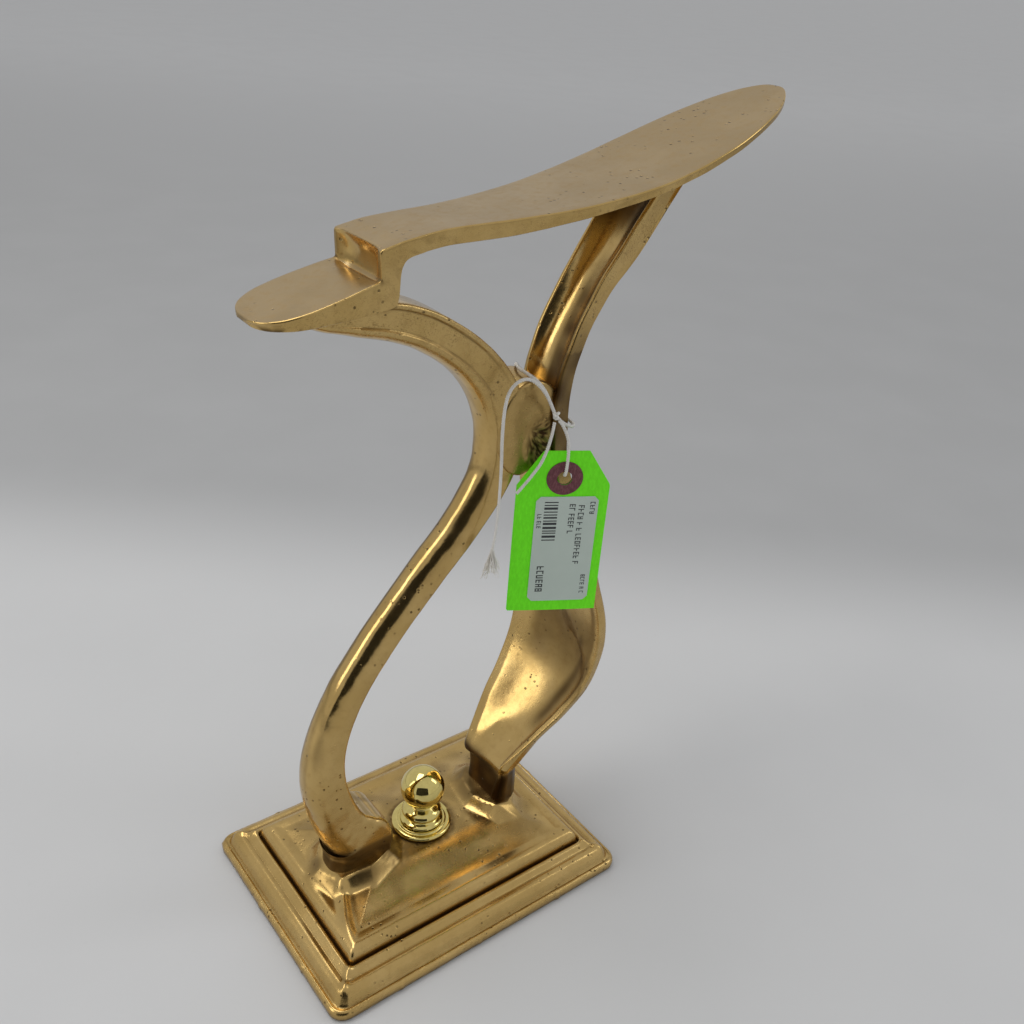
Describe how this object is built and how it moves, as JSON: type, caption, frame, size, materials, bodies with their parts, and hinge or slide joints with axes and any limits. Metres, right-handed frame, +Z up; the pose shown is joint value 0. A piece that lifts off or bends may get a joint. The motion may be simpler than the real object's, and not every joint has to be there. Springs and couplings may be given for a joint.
{
  "type": "shoe shine stand",
  "caption": "Cast-brass shoe-shine foot rest: a shoe-sole plate and heel rest on two curved legs over a stepped rectangular base with a ball knob, and a price tag tied round one leg.",
  "frame": {"origin": "under the middle of the stand's bounding box, at the level the base stands on", "axes": "+Z up, +X towards the toe of the sole plate, +Y across the stand, away from the price tag"},
  "size_m": [0.207, 0.102, 0.3047],
  "materials": {
    "cast_brass": "satin polish over fine casting pits",
    "polished_brass": "mirror polish",
    "zinc_steel": "zinc plated",
    "neon_card": "fluorescent matte card",
    "maroon_fibre": "pressed fibre",
    "label_paper": "semi-gloss label",
    "cotton_string": "twisted cotton"
  },
  "bodies": {
    "stand": {"base_casting": "cast_brass", "heel_leg": "cast_brass", "toe_leg": "cast_brass", "crossing_web": "cast_brass", "heel_plate": "cast_brass", "sole_plate": "cast_brass", "knob_washer": "zinc_steel", "knob_nut": "zinc_steel", "heel_foot_screw": "zinc_steel", "heel_foot_washer": "zinc_steel", "toe_foot_screw": "zinc_steel", "toe_foot_washer": "zinc_steel", "string_ring": "cotton_string", "string_tail": "cotton_string", "string_knot": "cotton_string", "string_tassel": "cotton_string"},
    "knob_flange": {"knob_flange": "polished_brass"},
    "knob": {"knob": "polished_brass"},
    "tag": {"tag_card": "neon_card", "tag_label": "label_paper", "tag_patch_front": "maroon_fibre", "tag_patch_back": "maroon_fibre", "string_drop": "cotton_string", "string_short_tail": "cotton_string"}
  },
  "joints": [
    {"name": "knob_spin", "type": "hinge", "parent": "stand", "child": "knob_flange", "pos_m": [-0.03545, 0, 0.0203], "axis": [0, 0, 1], "range_deg": [0, 1445]},
    {"name": "knob_lift", "type": "slide", "parent": "knob_flange", "child": "knob", "axis": [0, 0, 1], "range_m": [0, 0.004]},
    {"name": "tag_swing", "type": "hinge", "parent": "stand", "child": "tag", "pos_m": [0.00185, -0.0147, 0.203], "axis": [-0.8829, 0.4695, 0], "range_deg": [0, 60]}
  ],
  "couplings": [
    {"joint": "knob_spin", "follows": "knob_lift", "rad_per_m": 6283.2}
  ]
}
